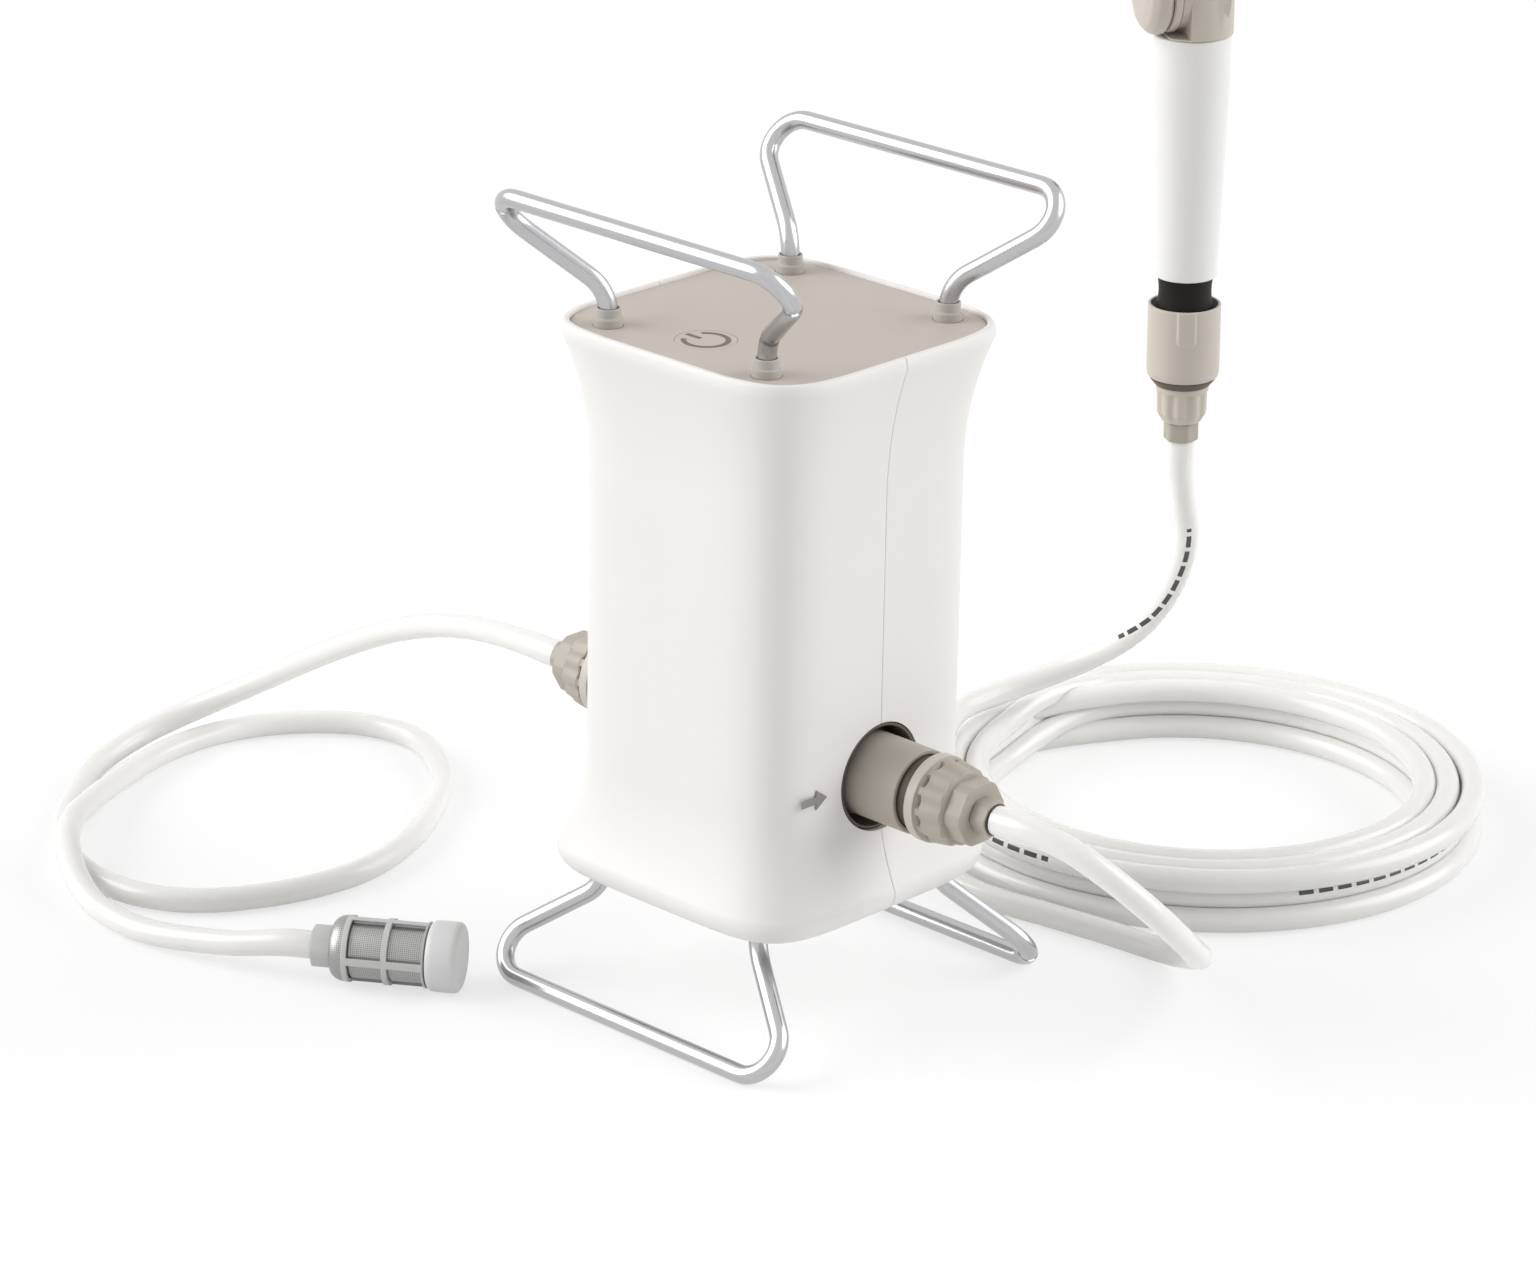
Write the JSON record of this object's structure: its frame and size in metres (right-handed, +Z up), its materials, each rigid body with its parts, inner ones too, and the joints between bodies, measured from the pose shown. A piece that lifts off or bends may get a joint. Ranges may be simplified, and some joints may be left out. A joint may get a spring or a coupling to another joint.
{
  "type": "portable shower",
  "caption": "Rechargeable camping shower: waisted square pump body with wire handles and wire stands, suction hose with strainer, coiled outlet hose and upright handset with a tilting head.",
  "frame": {"origin": "centre of the whole object's footprint, hoses and strainer left out, on the floor under the stand wires", "axes": "+Z up, +X from the suction port towards the outlet port, -Y out of the front face, +Y towards the coil and the handset"},
  "size_m": [0.5768, 0.5722, 0.4819],
  "materials": {
    "shell_white": "warm white moulded plastic, fine satin",
    "plate_taupe": "matt grey-brown plastic",
    "steel": "satin stainless steel",
    "ferrule_grey": "matt light grey plastic",
    "fitting_tan": "satin grey-brown plastic",
    "dark_liner": "matt dark brown plastic",
    "rubber_black": "matt black rubber",
    "hose_translucent": "milky translucent flexible tube",
    "strainer_light": "matt light grey plastic",
    "strainer_mesh": "fine woven wire mesh",
    "grip_white": "satin white plastic",
    "mechanism_grey": "matt dark grey plastic",
    "motor_steel": "zinc plated steel",
    "circuit_board": "green board with components",
    "cell_wrap": null
  },
  "bodies": {
    "shower": {"base_plate": "shell_white", "battery_cell_1": "cell_wrap", "battery_cell_2": "cell_wrap", "battery_cell_3": "cell_wrap", "battery_cell_4": "cell_wrap", "battery_tray": "mechanism_grey", "bulkhead": "mechanism_grey", "charge_socket": "steel", "control_board": "circuit_board", "handle_ferrule_1": "ferrule_grey", "handle_ferrule_2": "ferrule_grey", "handle_ferrule_3": "ferrule_grey", "handle_ferrule_4": "ferrule_grey", "handle_loop_front": "steel", "handle_loop_rear": "steel", "handset_connector": "fitting_tan", "handset_grip": "grip_white", "handset_spigot": "rubber_black", "handset_tail_nut": "fitting_tan", "inlet_connector": "fitting_tan", "inlet_pipe": "rubber_black", "inlet_port_cup": "dark_liner", "inlet_seal_ring": "rubber_black", "inlet_tail_nut": "fitting_tan", "motor_can": "motor_steel", "outlet_connector": "fitting_tan", "outlet_hose_coil": "hose_translucent", "outlet_hose_lead": "hose_translucent", "outlet_hose_riser": "hose_translucent", "outlet_pipe": "rubber_black", "outlet_port_cup": "dark_liner", "outlet_seal_ring": "rubber_black", "outlet_tail_nut": "fitting_tan", "pivot_block": "fitting_tan", "pivot_pin": "steel", "pivot_washer": "fitting_tan", "pump_cover": "mechanism_grey", "pump_housing": "mechanism_grey", "shell_front": "shell_white", "shell_rear": "shell_white", "stand_loop_front": "steel", "stand_loop_rear": "steel", "strainer_cage": "strainer_light", "strainer_cap": "strainer_light", "strainer_mesh": "strainer_mesh", "strainer_nut": "strainer_light", "suction_hose": "hose_translucent", "tie_screw_1": "steel", "tie_screw_2": "steel", "top_plate": "plate_taupe"},
    "outlet_lock": {"outlet_sleeve": "fitting_tan"},
    "inlet_lock": {"inlet_sleeve": "fitting_tan"},
    "handset_lock": {"handset_sleeve": "fitting_tan"},
    "button": {"power_button": "plate_taupe"},
    "flap": {"charge_flap": "rubber_black"},
    "rotor": {"impeller": "mechanism_grey", "motor_shaft": "steel"},
    "sprayer": {"spray_head": "fitting_tan", "spray_plate": "strainer_light"},
    "knob": {"tilt_knob": "fitting_tan"}
  },
  "joints": [
    {"name": "outlet_sleeve_slide", "type": "slide", "parent": "shower", "child": "outlet_lock", "axis": [1, 0, 0], "range_m": [0, 0.0045], "stiffness_N_per_m": 400, "springref_m": -0.0012},
    {"name": "inlet_sleeve_slide", "type": "slide", "parent": "shower", "child": "inlet_lock", "axis": [-1, 0, 0], "range_m": [0, 0.0045], "stiffness_N_per_m": 400, "springref_m": -0.0012},
    {"name": "handset_sleeve_slide", "type": "slide", "parent": "shower", "child": "handset_lock", "axis": [0.0108, 0.0102, -0.9999], "range_m": [0, 0.004], "stiffness_N_per_m": 400, "springref_m": -0.0012},
    {"name": "power_press", "type": "slide", "parent": "shower", "child": "button", "axis": [0, 0, -1], "range_m": [0, 0.0012], "stiffness_N_per_m": 1500, "springref_m": -0.0006},
    {"name": "charge_flap_hinge", "type": "hinge", "parent": "shower", "child": "flap", "pos_m": [-0.01, -0.0365, 0.195], "axis": [0, 0, 1], "range_deg": [0, 110]},
    {"name": "pump_spin", "type": "hinge", "parent": "shower", "child": "rotor", "pos_m": [0, -0.0993, 0.11], "axis": [0, 0, 1], "continuous": true},
    {"name": "head_tilt", "type": "hinge", "parent": "shower", "child": "sprayer", "pos_m": [-0.00711, 0.16976, 0.38798], "axis": [0.5298, 0.848, 0.0144], "range_deg": [-20, 45]},
    {"name": "knob_turn", "type": "hinge", "parent": "shower", "child": "knob", "pos_m": [-0.00711, 0.16976, 0.38798], "axis": [-0.5298, -0.848, -0.0144], "range_deg": [-90, 90]}
  ]
}
